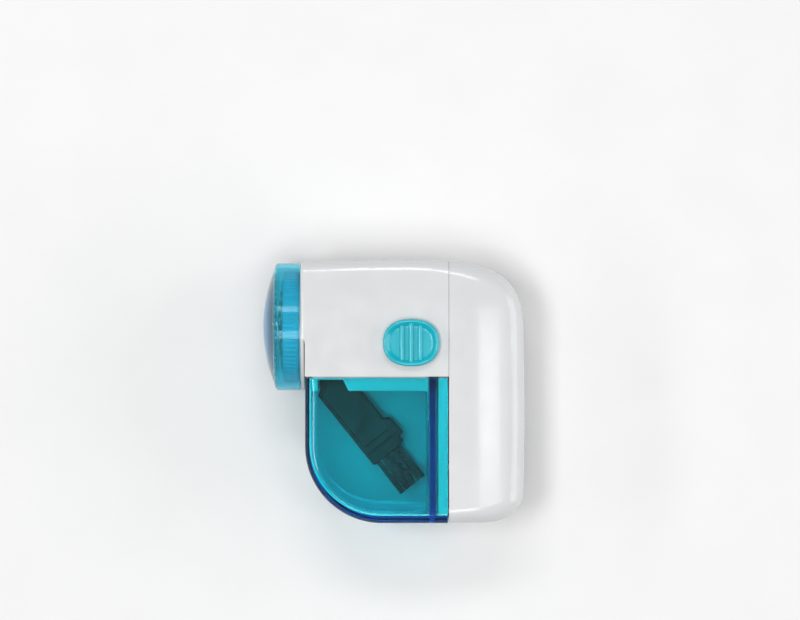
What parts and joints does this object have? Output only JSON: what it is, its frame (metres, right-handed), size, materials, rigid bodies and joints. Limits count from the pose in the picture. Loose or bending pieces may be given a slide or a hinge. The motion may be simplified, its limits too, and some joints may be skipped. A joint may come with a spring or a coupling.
{
  "type": "fabric shaver",
  "caption": "Battery fabric shaver: round foil head under a clear cap, barrel with slide switch, clear blue lint bin with cleaning brush, slide-off battery handle.",
  "frame": {"origin": "centre of the bounding box's footprint, on the rear face that the shaver lies on", "axes": "+X from the shaving head to the battery handle, +Y from the lint bin to the barrel, +Z out of the face with the switch"},
  "size_m": [0.081, 0.081, 0.043],
  "materials": {
    "white_plastic": "glossy moulded white plastic with a faint mould texture",
    "clear_blue_plastic": "clear plastic tinted blue through its thickness, navy where it is seen edge-on",
    "clear_pale_plastic": "clear plastic with a pale blue tint",
    "cyan_plastic": "bright cyan moulded plastic, satin",
    "turquoise_plastic": "turquoise moulded plastic, satin",
    "black_plastic": "black moulded plastic, satin",
    "black_bristle": "black nylon bristles",
    "foil_steel": "thin perforated bright steel",
    "spring_steel": "bright drawn or stamped steel",
    "motor_steel": "zinc-plated steel can",
    "brass": "stamped brass",
    "copper_windings": "enamelled copper on stacked steel",
    "ferrite": "dark grey ferrite",
    "cell_sleeve": "plain dark cell sleeve with a copper-coloured band, no marks",
    "red_insulation": "red wire insulation",
    "black_insulation": "black wire insulation",
    "white_insulation": "white wire insulation"
  },
  "bodies": {
    "housing": {"front_shell": "white_plastic", "rear_shell": "white_plastic", "battery_chassis": "white_plastic", "housing_screw_1": "spring_steel", "housing_screw_2": "spring_steel", "housing_screw_3": "spring_steel", "housing_screw_4": "spring_steel", "lint_chute": "white_plastic", "motor_can": "motor_steel", "motor_end_cap": "black_plastic", "motor_bearing": "brass", "motor_magnet_1": "ferrite", "motor_magnet_2": "ferrite", "motor_terminal_1": "brass", "motor_terminal_2": "brass", "switch_base": "black_plastic", "switch_contact_1": "brass", "switch_contact_2": "brass", "battery_cell_1": "cell_sleeve", "battery_cell_2": "cell_sleeve", "positive_plate": "spring_steel", "negative_plate": "spring_steel", "bridge_plate": "spring_steel", "bridge_spring": "spring_steel", "negative_spring": "spring_steel", "red_lead": "red_insulation", "black_lead": "black_insulation", "motor_lead": "white_insulation"},
    "cap": {"protective_cap": "clear_pale_plastic"},
    "foil_head": {"foil_ring": "cyan_plastic", "foil_screen": "foil_steel", "foil_clamp": "white_plastic"},
    "rotor": {"drive_shaft": "spring_steel", "shaft_collar": "white_plastic", "motor_armature": "copper_windings", "blade_spring": "spring_steel"},
    "blade": {"blade_hub": "white_plastic", "cutter_blade": "spring_steel"},
    "switch": {"switch_knob": "turquoise_plastic", "switch_carrier": "white_plastic", "switch_bridge": "brass"},
    "bin": {"lint_bin": "clear_blue_plastic", "brush_handle": "black_plastic", "brush_tuft_1": "black_bristle", "brush_tuft_2": "black_bristle", "brush_tuft_3": "black_bristle", "brush_tuft_4": "black_bristle", "brush_tuft_5": "black_bristle"},
    "cover": {"battery_cover": "white_plastic"}
  },
  "joints": [
    {"name": "cap_slide", "type": "slide", "parent": "housing", "child": "cap", "axis": [-1, 0, 0], "range_m": [0, 0.03]},
    {"name": "ring_twist", "type": "hinge", "parent": "housing", "child": "foil_head", "pos_m": [0, 0.0198, 0.02], "axis": [-1, 0, 0], "range_deg": [0, 25]},
    {"name": "rotor_spin", "type": "hinge", "parent": "housing", "child": "rotor", "pos_m": [0, 0.0198, 0.02], "axis": [-1, 0, 0], "continuous": true},
    {"name": "blade_float", "type": "slide", "parent": "rotor", "child": "blade", "axis": [1, 0, 0], "range_m": [0, 0.0012], "stiffness_N_per_m": 300, "springref_m": -0.002, "deforming": ["blade_spring"]},
    {"name": "switch_slide", "type": "slide", "parent": "housing", "child": "switch", "axis": [-1, 0, 0], "range_m": [0, 0.004]},
    {"name": "bin_slide", "type": "slide", "parent": "housing", "child": "bin", "axis": [0, -1, 0], "range_m": [0, 0.06]},
    {"name": "cover_slide", "type": "slide", "parent": "housing", "child": "cover", "axis": [1, 0, 0], "range_m": [0, 0.035]}
  ]
}
